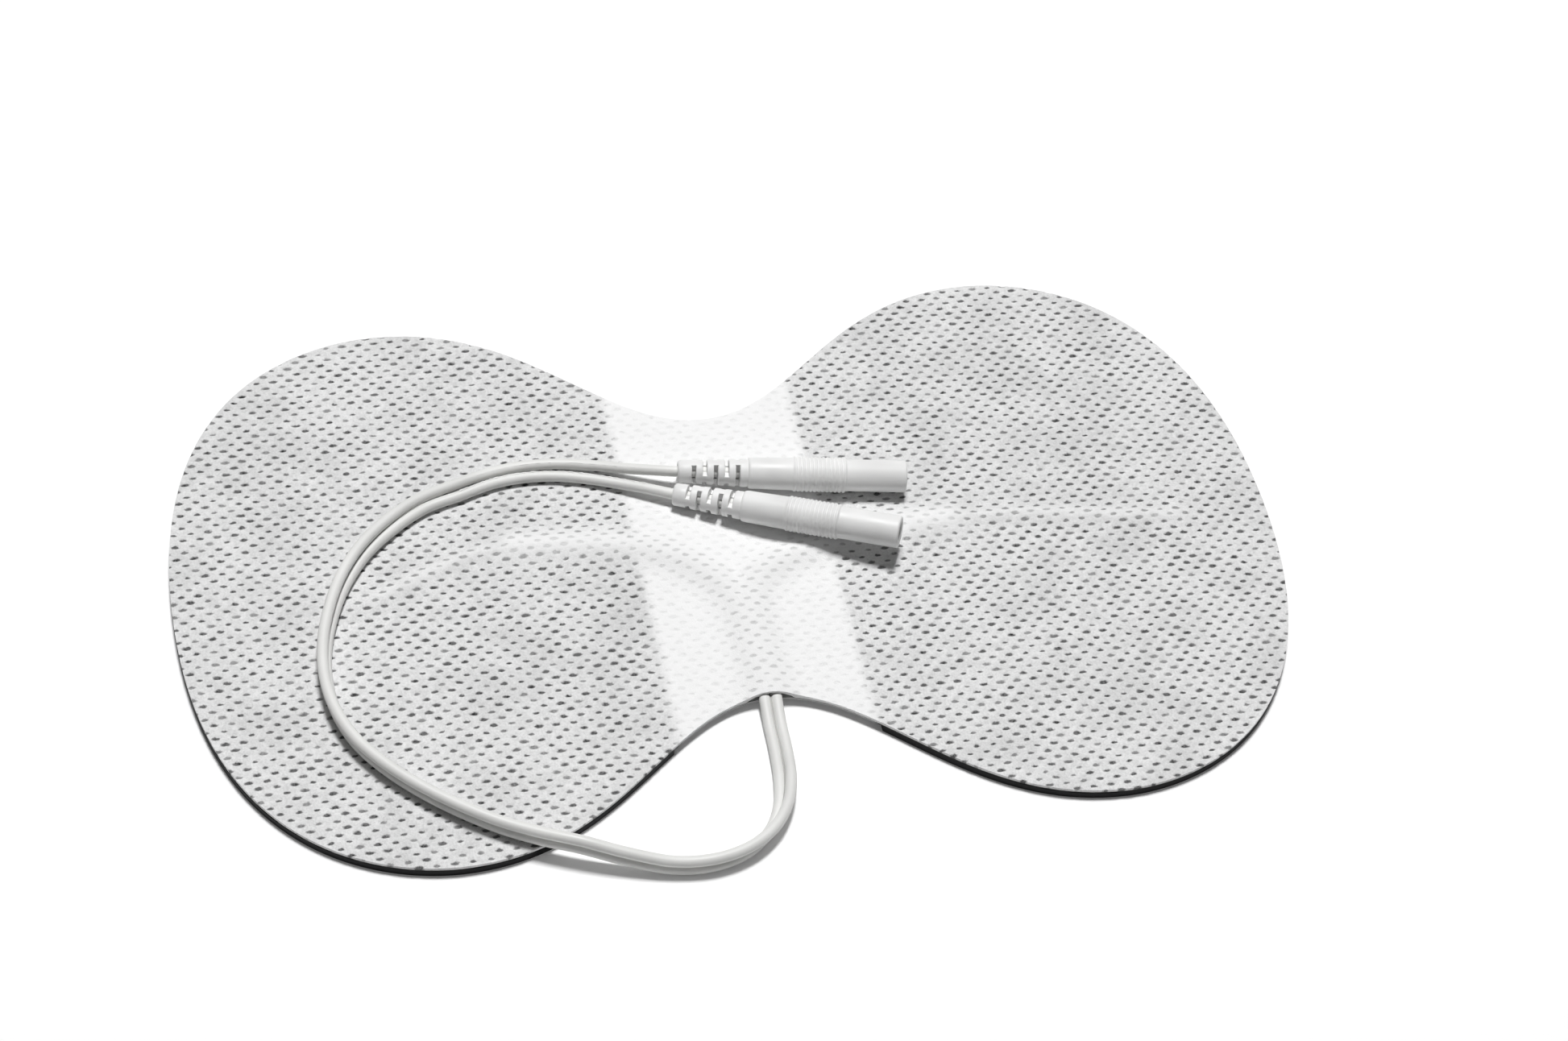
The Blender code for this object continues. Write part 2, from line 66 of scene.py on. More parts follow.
# The pad's outline, one quarter of it as two Bezier stretches
PAD_LENGTH = 150 * MM
PAD_WIDTH = 91 * MM
WAIST_WIDTH = 49 * MM
LOBE_CREST_X = 43 * MM
END_HANDLE = 42 * MM
SHOULDER_HANDLE = 7 * MM
FLANK_HANDLE = 21.5 * MM
WAIST_HANDLE = 14 * MM
OUTLINE_STEPS = 40

# The layers, from the skin side up
GEL_TOP = 1.0 * MM
GROOVE_RADIUS = 1.07 * MM
FABRIC_BASE = 1.24 * MM
FABRIC_TOP = 1.64 * MM
FABRIC_BLOCK_DEPTH = 12 * MM
CUT_CLEARANCE = 10 * MM
FILM_EDGE_X = 13.2 * MM
GEL_EDGE_X = 13.8 * MM

# The leads under the fabric: where they run, in millimetres, and how far they lift it
INNER_HEIGHT = 1.52 * MM
INNER_ROUTES = {
    "left": [(-0.8, -24.2), (-0.8, -19), (-0.85, -14), (-1.2, -9.6), (-2.3, -5.8), (-4.6, -2.5),
             (-8.0, 0.2), (-12.0, 2.3), (-16.5, 3.6), (-22, 4.4), (-29.4, 5.0)],
    "right": [(0.8, -24.2), (0.8, -19), (0.75, -14), (0.7, -10), (1.4, -6.6), (3.4, -3.6),
              (6.6, -1.7), (10.4, -0.5), (14.5, 0.8), (19, 1.9), (24, 2.2), (30, 2.3)],
}
UNPARTED_ROUTE = [(0, -30), (0, -19), (0, -14), (-0.2, -10)]
PARTED_FROM_Y = -15
TENTS_FROM_Y = -28  # past the hem
STRAND_ROUTES = {
    "left": [(-29.4, 5.0), (-33, 4.7), (-37, 3.4), (-41.5, 1.6), (-46, -0.5)],
    "right": [(30, 2.3), (35, 2.2), (40, 1.9), (45.5, 1.3), (52, 0.2), (60, -0.9)],
}
LEAD_LIFT = 0.9 * MM
STRAND_LIFT = 0.48 * MM
LEAD_TENT_WIDTH = 2.5 * MM
STRAND_TENT_WIDTH = 1.3 * MM
STRAND_FADE = 6 * MM
LEAD_HOLLOW_RADIUS = 2.2 * MM
STRAND_HOLLOW_RADIUS = 1.2 * MM
TWIN_HOLLOW_RADIUS = 5.6 * MM
HOLLOW_TOPS = {"lead": 2.31 * MM, "strand": 1.89 * MM}
HOLLOW_STEP = 1.5 * MM

# The embossing: two steps from one dimple to its neighbours, in millimetres, the reach of a
# dimple's rim and flank in dimple radii, and shares of the full depth
STEP_A = (-1.136, 1.055)
STEP_B = (1.129, 1.094)
DIMPLE_RIM = 1.25
DIMPLE_FLANK = 0.95
DIMPLE_STRENGTHS = (0.7, 1.15)
WAIST_DIMPLE_SHARE = 0.3
LOSS_OVER_LEAD = 0.5
DIMPLE_SEED = 7

# The free lead, as in the CAD model: the twin's middle line in millimetres with its turn from flat
# on to its edge in degrees, and the parted wires
WIRE_PITCH = 1.6 * MM
TABLE_HEIGHT = 0.8 * MM
PAD_HEIGHT = 2.44 * MM
TWIN_ROUTE = [(0, -24.6, 0), (-0.1, -28.5, 0), (-0.2, -33, 5), (-0.6, -37.4, 20), (-1.7, -41.6, 45),
              (-3.9, -45.2, 65), (-7.4, -47.9, 80), (-12, -49.2, 88), (-17.2, -48.9, 90),
              (-23, -47.3, 90), (-28.4, -45.3, 90), (-33.4, -43.2, 90), (-38, -40.8, 88),
              (-42.8, -37.5, 86), (-47.2, -33.8, 84), (-51, -29.8, 82), (-54, -25.5, 80),
              (-55.9, -20.6, 78), (-56.6, -15.4, 76), (-56.2, -10, 74), (-54.8, -4.6, 70),
              (-52.6, 0.7, 64), (-49.4, 5.6, 56), (-45.3, 9.7, 44), (-40.6, 13, 28)]
PAD_EDGE_FROM, PAD_EDGE_TO = 8, 10  # the twin's points where it climbs from table to pad
PARTED_ROUTES = {  # x, y and the rise above the pad
    "right": [(-35.8, 15.9, 0.3), (-31, 17.6, 0), (-26.2, 18.3, 0), (-21.4, 18.1, 0.05),
              (-16.8, 17, 0.3), (-12.6, 15.5, 0.8), (-9.2, 14.3, 1.35)],
    "left": [(-35.2, 14.1, 0), (-30.8, 15.6, 0), (-26.4, 16.2, 0), (-21.8, 15.9, 0),
             (-17.4, 14.8, 0.05), (-13.3, 13.2, 0.25), (-9.9, 11.6, 0.6)],
}
WIRE_STEP = 0.6 * MM

# The torn web on the parted wires: the distance from a wire's middle to its own, how steeply it
# stands there, and the least and the most share of its radius along each wire
TORN_STEP = 0.35 * MM
TORN_DISTANCE = 0.7 * MM
TORN_STEEPNESS = 2.2
TORN_RADIUS = 0.15 * MM
TORN_SHARES = {"left": (0.5, 1.3), "right": (0.2, 0.6)}
TORN_SEED = 3

# The connectors: back end in millimetres, heading and roll in degrees, and tilt as a rise over a
# run. A wire's route passes a point behind the back end and a few on the way to its own end
CONNECTORS = {
    "right": {"back": (-5.6, 13.3, 4.11), "heading": -9, "roll": 80, "tilt": 0.0},
    "left": {"back": (-6.6, 10.05, 3.24), "heading": -24.5, "roll": -14,
             "tilt": math.atan2(2.0, 22)},
}
WIRE_END_IN_HOUSING = 13.3 * MM
HOUSED_SHARES = (0.35, 0.7, 1)
BACK_GAP = 0.3 * MM

# A housing's rings from its back end, radius and height in millimetres: the relief and the body,
# one rib as shares of the pitch and the drop from the crest, and the barrel and back down the bore
RELIEF_FOOT, RELIEF_HEAD = (1.55, 0.3), (1.94, 9.3)
BODY_RINGS = [(1.25, 0), (1.42, 0.08), RELIEF_FOOT, RELIEF_HEAD, (1.9, 9.5), (1.88, 9.62),
              (1.98, 9.66), (2.1, 9.8), (2.15, 10.05), (2.25, 15.62), (2.27, 15.75)]
GRIP_BASE = 15.8 * MM
GRIP_LENGTH = 7.3 * MM
RIB_RINGS = [(0.0, 0.12), (0.14, 0.11), (0.26, 0.03), (0.4, 0.0), (0.6, 0.0), (0.74, 0.03),
             (0.86, 0.11)]
BARREL_RINGS = [(2.22, 23.12), (2.2, 23.2), (2.2, 31.1), (2.17, 31.24), (2.1, 31.35),
                (1.98, 31.4), (1.4, 31.4), (1.3, 31.36), (1.25, 31.25), (1.25, 30.2), (1.6, 30.2),
                (1.6, 13.6), (0.9, 13.6), (0.9, 0.0)]
HOUSING_SIDES = 48

# The relief's slots: the flare of their rim, out from the relief's face and wider, in millimetres
FIRST_SLOT, SLOT_PITCH = 2.2, 1.5  # in millimetres
SLOT_HALF_WIDTH = 0.27 * MM
SLOT_FLOOR_RADIUS = 0.5 * MM
SLOT_FLARE = [(-0.16, 0), (-0.08, 0.02), (-0.03, 0.06), (0, 0.13), (0.6, 0.15)]
SLOT_WEB_WIDTH = 1.1 * MM
SLOT_SIDES = 44  # not a housing's number, so that no face of a cutter lies in one of the housing's

# The camera, in millimetres and degrees
CAMERA_PLACE = (-80.2, -280.7, 346.5)
CAMERA_TARGET = (7.8, 4.8, 1.64)
CAMERA_ROLL = 7.41
CAMERA_LENS = 76.96

# The floor and the main light, in metres
FLOOR_SIZE = 6
LIFT_GROWS_FROM, LIFT_GROWS_TO = 0.25, 1.2
FAR_FLOOR_LIFT = 0.95
KEY_PLACE = (0.05, 0.384, 1.552)
KEY_SIZE = 0.34


# Settings that a user would change

def colour_setting(name, description, default):
    return FloatVectorProperty(
        name=name, description=description, subtype="COLOR", size=3, min=0, max=1,
        default=default)


def length_setting(name, description, default):
    return FloatProperty(
        name=name, description=description, default=default, unit="LENGTH", precision=5)


class FabricSettings(bpy.types.PropertyGroup):
    """Embossing and colours of the top sheet"""

    dimple_length: length_setting("Dimple Length", "Length of one embossed dimple", 1.25 * MM)
    dimple_width: length_setting("Dimple Width", "Width of one embossed dimple", 0.6 * MM)
    dimple_depth: length_setting("Dimple Depth", "How deep a dimple is pressed in", 0.2 * MM)
    cells: IntProperty(
        name="Faces per Step", description="Mesh faces from one row of dimples to the next",
        default=6, min=2, max=8)
    white: colour_setting("White", "Colour over the bare waist", (0.93, 0.93, 0.93))
    # Painted shade: the grey along the ridges that the leads raise across the waist
    ridge_shade: colour_setting(
        "Ridge Shade", "Colour where a lead lies under the bare waist", (0.89, 0.89, 0.89))
    over_film: colour_setting(
        "Over Film", "Colour between the dimples where the black film lies under",
        (0.765, 0.765, 0.765))
    dimple_dark: colour_setting(
        "Dimple over Film", "Colour of a dimple pressed on to the black film",
        (0.015, 0.015, 0.016))
    # Painted shade: the grey of the shallow dimples across the waist
    waist_dimple_shade: colour_setting(
        "Dimple at Waist", "Colour of a dimple with no film under it", (0.87, 0.87, 0.87))


class LayerSettings(bpy.types.PropertyGroup):
    """Colours and edge of the layers under the fabric"""

    gel: colour_setting("Gel", "Colour of the gel over the black film", (0.012, 0.012, 0.013))
    film: colour_setting("Film", "Colour of the conductive film", (0.015, 0.015, 0.015))
    # Painted shade: the strip is grey rather than white, for the shadow under the waist's hem
    strip: colour_setting("Strip", "Colour of the strip under the waist", (0.42, 0.42, 0.42))
    gel_edge: length_setting("Gel Edge", "Rounding of the gel's edge", 0.18 * MM)


class LeadSettings(bpy.types.PropertyGroup):
    """Sizes and colours of the twin lead"""

    diameter: length_setting("Wire Diameter", "Diameter of each insulated wire", 1.5 * MM)
    web: length_setting("Web", "Thickness of the web that joins the two wires", 0.5 * MM)
    insulation: colour_setting("Insulation", "Colour of the insulation", (0.69, 0.69, 0.675))
    # Painted shade: the web is darker than the insulation, for the shade down in the groove
    seam: colour_setting(
        "Seam", "Colour down in the groove between the wires", (0.36, 0.36, 0.35))


class ConnectorSettings(bpy.types.PropertyGroup):
    """Sizes and colours of the pin sockets"""

    grip_diameter: length_setting("Grip Diameter", "Diameter over the ribs", 4.84 * MM)
    ribs: IntProperty(name="Ribs", description="Ribs around the grip", default=13, min=3, max=30)
    slots: IntProperty(
        name="Relief Slots", description="Slot places along the strain relief",
        default=5, min=1, max=8)
    plastic: colour_setting("Plastic", "Colour of the moulded housing", (0.74, 0.74, 0.735))
    metal: colour_setting("Metal", "Colour of the sleeve and the strands", (0.7, 0.69, 0.66))


class StageSettings(bpy.types.PropertyGroup):
    """Floor and lights"""

    floor: colour_setting("Floor", "Colour of the floor", (0.94, 0.94, 0.94))
    floor_lift: FloatProperty(
        name="Floor Lift", description="Light added to the floor near the pad, 1 is white",
        default=0.07, min=0, max=1)
    key_power: FloatProperty(
        name="Key Power", description="Power of the soft light above and a little behind the pad",
        default=24.5, min=0, unit="POWER")
    fill: FloatProperty(
        name="Fill", description="Strength of the soft light from straight above",
        default=0.15, min=0)
    horizon: FloatProperty(
        name="Horizon", description="Strength of the soft light from the sides",
        default=0.0, min=0)


# Small helpers for modelling

def deselect_all():
    bpy.ops.object.select_all(action="DESELECT")


def make_active(obj):
    deselect_all()
    obj.select_set(True)
    bpy.context.view_layer.objects.active = obj


def settle(obj):
    """Puts an object's place, turn and size into its mesh."""
    make_active(obj)
    bpy.ops.object.transform_apply(location=True, rotation=True, scale=True)


def apply_modifiers(obj):
    make_active(obj)
    for modifier in list(obj.modifiers):
        bpy.ops.object.modifier_apply(modifier=modifier.name)


def edit_all(obj):
    """Opens a mesh for editing, with all of it selected."""
    make_active(obj)
    bpy.ops.object.mode_set(mode="EDIT")
    bpy.ops.mesh.select_all(action="SELECT")


def recalculate(obj):
    """Merges doubles and turns every face of a closed shape outwards."""
    edit_all(obj)
    bpy.ops.mesh.remove_doubles(threshold=MERGE_DISTANCE)
    bpy.ops.mesh.normals_make_consistent(inside=False)
    bpy.ops.object.mode_set(mode="OBJECT")


def clear_slivers(obj):
    """Merges the close corners and clears the thin faces that Booleans leave."""
    edit_all(obj)
    bpy.ops.mesh.remove_doubles(threshold=SLIVER_SIZE)
    bpy.ops.mesh.dissolve_degenerate(threshold=SLIVER_SIZE)
    bpy.ops.object.mode_set(mode="OBJECT")


def smooth(obj, degrees):
    """Shades an object smooth, apart from edges sharper than an angle."""
    make_active(obj)
    bpy.ops.object.shade_smooth_by_angle(angle=math.radians(degrees))


def to_mesh(obj):
    make_active(obj)
    bpy.ops.object.convert(target="MESH")
    return bpy.context.view_layer.objects.active


def boolean(obj, cutter, operation):
    """Applies one Boolean and removes its cutter."""
    modifier = obj.modifiers.new("cut", "BOOLEAN")
    modifier.operation = operation
    modifier.solver = "MANIFOLD"
    modifier.object = cutter
    apply_modifiers(obj)
    bpy.data.objects.remove(cutter)


def name_piece(obj, name, material):
    """Names a finished piece, gives it its material and ties it to the frame."""
    obj.name = name
    obj.data.name = name
    obj.data.materials.clear()
    obj.data.materials.append(material)
    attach(obj, BODY)
    return obj


def dress(node, material):
    """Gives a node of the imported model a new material."""
    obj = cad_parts[node]
    for slot in obj.material_slots:
        slot.material = material


def smooth_points(route, step):
    """Reads points about a step apart from the smooth curve through a route's points."""
    points = [Vector(point) for point in route]
    before = points[0] * 2 - points[1]
    after = points[-1] * 2 - points[-2]
    ends = [before] + points + [after]
    read = []
    for a, b, c, d in zip(ends, ends[1:], ends[2:], ends[3:]):
        count = max(1, round((c - b).length / step))
        for i in range(count):
            t = i / count
            read.append(
                0.5 * (2 * b + (c - a) * t + (2 * a - 5 * b + 4 * c - d) * t**2
                       + (3 * b - a - 3 * c + d) * t**3)
            )
    read.append(points[-1])
    return read


def in_plan(route, height=0.0):
    """A route's plan points, given in millimetres, as vectors at one height."""
    return [Vector((x * MM, y * MM, height)) for x, y in route]


def tube(name, points, radius, resolution, radii=None):
    """A round tube along the points, as a mesh that is closed at both ends. It has four sides and
    two more for each step of the resolution, and radii are shares of the radius."""
    curve = bpy.data.curves.new(name, "CURVE")
    curve.dimensions = "3D"
    curve.bevel_depth = radius
    curve.bevel_resolution = resolution
    curve.use_fill_caps = True
    spline = curve.splines.new("POLY")
    spline.points.add(len(points) - 1)
    spline.points.foreach_set("co", [value for point in points for value in (*point, 1)])
    if radii:
        spline.points.foreach_set("radius", radii)
    obj = bpy.data.objects.new(name, curve)
    bpy.context.scene.collection.objects.link(obj)
    obj = to_mesh(obj)
    recalculate(obj)
    smooth(obj, degrees=60)
    return obj


# Shader helpers

def new_material(name):
    material = bpy.data.materials.new(name)
    material.use_nodes = True
    return material, material.node_tree, material.node_tree.nodes["Principled BSDF"]


def put(tree, socket, value):
    """Sets a socket to a number or a vector, or links it to another socket."""
    if isinstance(value, bpy.types.NodeSocket):
        tree.links.new(value, socket)
    else:
        socket.default_value = value


def add_node(tree, kind, inputs=(), **fields):
    """A new shader node. inputs gives a number, a vector or a link for an input's name or place."""
    node = tree.nodes.new(f"ShaderNode{kind}")
    for field, value in fields.items():
        setattr(node, field, value)
    for name, value in dict(inputs).items():
        put(tree, node.inputs[name], value)
    return node


def math_node(tree, operation, *values, clamp=False):
    node = add_node(tree, "Math", enumerate(values), operation=operation, use_clamp=clamp)
    return node.outputs["Value"]


def product(tree, *values):
    """All the values times one another."""
    result = values[0]
    for value in values[1:]:
        result = math_node(tree, "MULTIPLY", result, value)
    return result


def vector_node(tree, operation, *values):
    node = add_node(tree, "VectorMath", enumerate(values), operation=operation)
    return node.outputs["Value" if operation in ("DOT_PRODUCT", "LENGTH") else "Vector"]


def scale_vector(tree, vector, factor):
    node = add_node(tree, "VectorMath", {0: vector, "Scale": factor}, operation="SCALE")
    return node.outputs["Vector"]


def blend_colour(tree, factor, first, second):
    node = add_node(tree, "Mix", data_type="RGBA")
    put(tree, node.inputs["Factor"], factor)
    for name, value in (("A", first), ("B", second)):
        colour = value if isinstance(value, bpy.types.NodeSocket) else (*value, 1)
        put(tree, node.inputs[name], colour)
    return node.outputs["Result"]


def spread(tree, value, low, high, out_low=0.0, out_high=1.0, interpolation="SMOOTHSTEP"):
    """Maps a value from one range to another, along a smooth step if nothing else is asked."""
    node = add_node(tree, "MapRange", enumerate((value, low, high, out_low, out_high)),
                    interpolation_type=interpolation)
    return node.outputs["Result"]


def noise(tree, place, size, detail=2.0, roughness=0.5, distortion=0.0, output="Fac"):
    """Noise whose features are about a given size across, in metres."""
    node = add_node(tree, "TexNoise", {
        "Vector": place, "Scale": 1 / size, "Detail": detail, "Roughness": roughness,
        "Distortion": distortion})
    return node.outputs[output]


def bump(tree, shader, height, distance):
    """Gives a shader the relief of a height from 0 to 1, over a distance in metres."""
    node = add_node(tree, "Bump", {"Height": height, "Distance": distance, "Strength": 1.0})
    put(tree, shader.inputs["Normal"], node.outputs["Normal"])


def object_place(tree):
    return tree.nodes.new("ShaderNodeTexCoord").outputs["Object"]


def new_group(name, inputs, outputs):
    """An empty shader group, its inputs and its end node. Place is a vector, and every other
    socket is a number."""
    group = bpy.data.node_groups.new(name, "ShaderNodeTree")
    for kind, names in (("INPUT", inputs), ("OUTPUT", outputs)):
        for socket_name in names:
            socket_type = "Vector" if socket_name == "Place" else "Float"
            group.interface.new_socket(
                socket_name, in_out=kind, socket_type=f"NodeSocket{socket_type}")
    start = group.nodes.new("NodeGroupInput")
    end = group.nodes.new("NodeGroupOutput")
    return group, start.outputs, end


def place_group(tree, name, make, **values):
    """Places a shared group, which is made at its first use, and gives its outputs."""
    group = bpy.data.node_groups.get(name) or make()
    return add_node(tree, "Group", values, node_tree=group).outputs


# Shader groups

def dimple_group():
    """Finds the nearest dimple of the embossing: how far from its middle a point lies, in dimple
    radii, and two random numbers for each dimple."""
    group, given, end = new_group(
        "nearest_dimple", ("Place", "Length", "Width", "Wobble"),
        ("Distance", "Random", "Second Random"))
    (ax, ay), (bx, by) = STEP_A, STEP_B
    area = (ax * by - ay * bx) * MM
    wobble = noise(group, given["Place"], 0.7 * MM, detail=3, output="Color")
    centred = vector_node(group, "SUBTRACT", wobble, (0.5, 0.5, 0.5))
    shift = scale_vector(group, centred, given["Wobble"])
    place = vector_node(group, "ADD", given["Place"], shift)
    # How many steps a and b away from the first dimple the point lies, and what is left of them
    along_a = vector_node(group, "DOT_PRODUCT", place, (by / area, -bx / area, 0))
    along_b = vector_node(group, "DOT_PRODUCT", place, (-ay / area, ax / area, 0))
    near_a = math_node(group, "ROUND", along_a)
    near_b = math_node(group, "ROUND", along_b)
    left_a = math_node(group, "SUBTRACT", along_a, near_a)
    left_b = math_node(group, "SUBTRACT", along_b, near_b)
    axes = []
    for a, b, size in ((ax, bx, "Length"), (ay, by, "Width")):
        part = product(group, left_a, a * MM)
        reach = math_node(group, "MULTIPLY_ADD", left_b, b * MM, part)
        axes.append(math_node(group, "DIVIDE", reach, product(group, given[size], 0.5)))
    squares = [product(group, axis, axis) for axis in axes]
    distance = math_node(group, "SQRT", math_node(group, "ADD", *squares))
    cell = add_node(group, "CombineXYZ", {"X": near_a, "Y": near_b})
    white = add_node(group, "TexWhiteNoise", {"Vector": cell.outputs["Vector"]},
                     noise_dimensions="3D")
    apart = add_node(group, "SeparateColor", {"Color": white.outputs["Color"]})
    put(group, end.inputs["Distance"], distance)
    put(group, end.inputs["Random"], apart.outputs["Red"])
    put(group, end.inputs["Second Random"], apart.outputs["Green"])
    return group


def fibre_group():
    """Tangled fibres: crossing threads of noise, from 0 in the gaps to 1 on a fibre."""
    group, given, end = new_group("tangled_fibres", ("Place", "Size"), ("Fibres",))
    per_size = math_node(group, "DIVIDE", 1.0, given["Size"])
    threads = []
    for degrees in (20, 80, 140):
        turn = add_node(group, "VectorRotate", {
            "Vector": given["Place"], "Angle": math.radians(degrees)}, rotation_type="Z_AXIS")
        stretched = vector_node(group, "MULTIPLY", turn.outputs["Vector"], (0.22, 1, 1))
        scaled = scale_vector(group, stretched, per_size)
        thread = noise(group, scaled, 1, detail=2, distortion=0.6)
        off_middle = math_node(group, "ABSOLUTE", math_node(group, "SUBTRACT", thread, 0.5))
        threads.append(spread(group, off_middle, 0.09, 0.0))
    most = math_node(group, "MAXIMUM", math_node(group, "MAXIMUM", *threads[:2]), threads[2])
    put(group, end.inputs["Fibres"], most)
    return group


def grain_group():
    """The fine uneven skin of a moulded plastic: its height, and wide patches of gloss."""
    group, given, end = new_group("moulded_grain", ("Place", "Size"), ("Height", "Patches"))
    per_size = math_node(group, "DIVIDE", 1.0, given["Size"])
    for name, factor, detail in (("Height", 1.0, 3), ("Patches", 0.07, 1)):
        grain = add_node(group, "TexNoise", {
            "Vector": given["Place"], "Scale": product(group, per_size, factor),
            "Detail": detail})
        put(group, end.inputs[name], grain.outputs["Fac"])
    return group


# Materials

def fabric_material(settings):
    """White nonwoven: grey and dark-dimpled over the black film, white across the waist with
    painted shade in its dimples and along the lead ridges.
    """
    material, tree, shader = new_material("embossed_nonwoven")
    place = object_place(tree)
    dimple = place_group(
        tree, "nearest_dimple", dimple_group, Place=place, Length=settings.dimple_length,
        Width=settings.dimple_width, Wobble=0.4 * MM)
    fibres = place_group(
        tree, "tangled_fibres", fibre_group, Place=place, Size=0.32 * MM)["Fibres"]
    fine = noise(tree, place, 0.25 * MM, detail=4, roughness=0.7)
    tufts = noise(tree, place, 1.3 * MM, detail=3, roughness=0.6)
    clouds = noise(tree, place, 11 * MM, detail=3, roughness=0.6, distortion=0.3)

    # Each dimple has a size and a darkness of its own, a rough rim and hairs across it
    edge = math_node(tree, "MULTIPLY_ADD", dimple["Second Random"], 0.42, 0.7)
    reach = math_node(tree, "DIVIDE", dimple["Distance"], edge)
    reach = math_node(tree, "MULTIPLY_ADD", fine, 0.5, math_node(tree, "SUBTRACT", reach, 0.25))
    rim = spread(tree, reach, 1.14, 0.52)
    depth = spread(tree, dimple["Random"], 0.0, 0.6, 0.7, 1.0)
    hairs = math_node(tree, "MULTIPLY_ADD", fibres, -0.2, 1.0)
    pressed = product(tree, rim, depth, hairs)

    # The film shows through up to a ragged edge, and less where a lead lifts the sheet off it
    lifted = add_node(tree, "Attribute", attribute_name="lift").outputs["Fac"]
    sideways = math_node(tree, "ABSOLUTE", vector_node(tree, "DOT_PRODUCT", place, (1, 0, 0)))
    ragged = math_node(tree, "MULTIPLY_ADD", tufts, 2.4 * MM, sideways)
    film = spread(tree, ragged, FILM_EDGE_X + 0.1 * MM, FILM_EDGE_X + 2.1 * MM)
    close = math_node(tree, "MULTIPLY_ADD", lifted, -0.85, 1.0, clamp=True)
    cloudy = spread(tree, clouds, 0.32, 0.6, 0.91, 1.02)
    fluff = spread(tree, tufts, 0.25, 0.75, 0.93, 1.04)
    threads = math_node(tree, "MULTIPLY_ADD", fibres, 0.08, 0.96)
    mottle = spread(tree, fine, 0.3, 0.7, 0.88, 1.08)
    tone = product(tree, cloudy, fluff, threads, mottle)
    grey = scale_vector(tree, settings.over_film, tone)
    raised = blend_colour(tree, close, settings.white, grey)
    smeared = math_node(tree, "MULTIPLY_ADD", lifted, -0.8, 1.0, clamp=True)
    over_film = blend_colour(
        tree, product(tree, pressed, smeared), raised, settings.dimple_dark)

    # Across the waist the sheet is white, with painted shade in its dimples and along its ridges
    # over the leads
    shaded = math_node(tree, "MULTIPLY", product(tree, lifted, 1.3), fluff, clamp=True)
    waist = blend_colour(tree, shaded, settings.white, settings.ridge_shade)
    # Painted shade in the waist's dimples, darker still on the lead ridges
    painted_dimple_shade = blend_colour(tree, shaded, settings.waist_dimple_shade,
                          [value * 0.7 for value in settings.ridge_shade])
    at_waist = blend_colour(tree, pressed, waist, painted_dimple_shade)
    put(tree, shader.inputs["Base Color"], blend_colour(tree, film, at_waist, over_film))

    shader.inputs["Roughness"].default_value = 0.85
    shader.inputs["Specular IOR Level"].default_value = 0.25
    shader.inputs["Sheen Weight"].default_value = 0.15
    shader.inputs["Sheen Roughness"].default_value = 0.5
    relief = math_node(tree, "MULTIPLY_ADD", fibres, 0.28, product(tree, fine, 0.9))
    relief = math_node(tree, "MULTIPLY_ADD", tufts, 0.9, relief)
    relief = math_node(tree, "MULTIPLY_ADD", pressed, -0.6, relief)
    bump(tree, shader, relief, 0.06 * MM)
    return material


def plain_layer_material(name, colour, roughness, grain_size, height, specular):
    """A smooth layer with a fine grain in its height and its gloss."""
    material, tree, shader = new_material(name)
    grain = place_group(
        tree, "moulded_grain", grain_group, Place=object_place(tree), Size=grain_size)
    paler = [min(1, value * 1.25 + 0.004) for value in colour]
    put(tree, shader.inputs["Base Color"], blend_colour(tree, grain["Patches"], colour, paler))
    put(tree, shader.inputs["Roughness"],
        spread(tree, grain["Patches"], 0.3, 0.7, roughness * 0.85, min(1, roughness * 1.15)))
    shader.inputs["Specular IOR Level"].default_value = specular
    bump(tree, shader, grain["Height"], height)
    return material


def metal_material(settings):
    """Plated metal with a fine uneven gloss."""
    material, tree, shader = new_material("plated_metal")
    grain = place_group(
        tree, "moulded_grain", grain_group, Place=object_place(tree), Size=0.2 * MM)
    darker = [value * 0.85 for value in settings.metal]
    put(tree, shader.inputs["Base Color"],
        blend_colour(tree, grain["Patches"], settings.metal, darker))
    put(tree, shader.inputs["Roughness"], spread(tree, grain["Patches"], 0.2, 0.8, 0.22, 0.4))
    shader.inputs["Metallic"].default_value = 1
    bump(tree, shader, grain["Height"], 0.008 * MM)
    return material


# The fabric

def outline_solid(name, low, high):
    """The pad's outline as an upright solid between two heights."""
    deselect_all()
    bpy.ops.curve.primitive_bezier_circle_add(radius=PAD_LENGTH / 2)
    obj = bpy.context.active_object
    bpy.ops.object.mode_set(mode="EDIT")
    bpy.ops.curve.select_all(action="SELECT")
    bpy.ops.curve.subdivide()
    bpy.ops.object.mode_set(mode="OBJECT")
    crest, waist, end = PAD_WIDTH / 2, WAIST_WIDTH / 2, PAD_LENGTH / 2
    knots = [
        ((end, 0), (0, END_HANDLE), (0, -END_HANDLE)),
        ((LOBE_CREST_X, crest), (-FLANK_HANDLE, 0), (SHOULDER_HANDLE, 0)),
        ((0, waist), (-WAIST_HANDLE, 0), (WAIST_HANDLE, 0)),
        ((-LOBE_CREST_X, crest), (-SHOULDER_HANDLE, 0), (FLANK_HANDLE, 0)),
    ]
    knots += [tuple((-x, -y) for x, y in knot) for knot in knots]
    for point, (place, ahead, behind) in zip(obj.data.splines[0].bezier_points, knots):
        point.handle_left_type = "FREE"
        point.handle_right_type = "FREE"
        point.co = (*place, 0)
        point.handle_right = (place[0] + ahead[0], place[1] + ahead[1], 0)
        point.handle_left = (place[0] + behind[0], place[1] + behind[1], 0)
    obj.data.dimensions = "2D"
    obj.data.fill_mode = "BOTH"
    obj.data.resolution_u = OUTLINE_STEPS
    obj.data.extrude = (high - low) / 2
    obj.location = (0, 0, (low + high) / 2)
    obj = to_mesh(obj)
    settle(obj)
    recalculate(obj)
    obj.name = name
    return obj


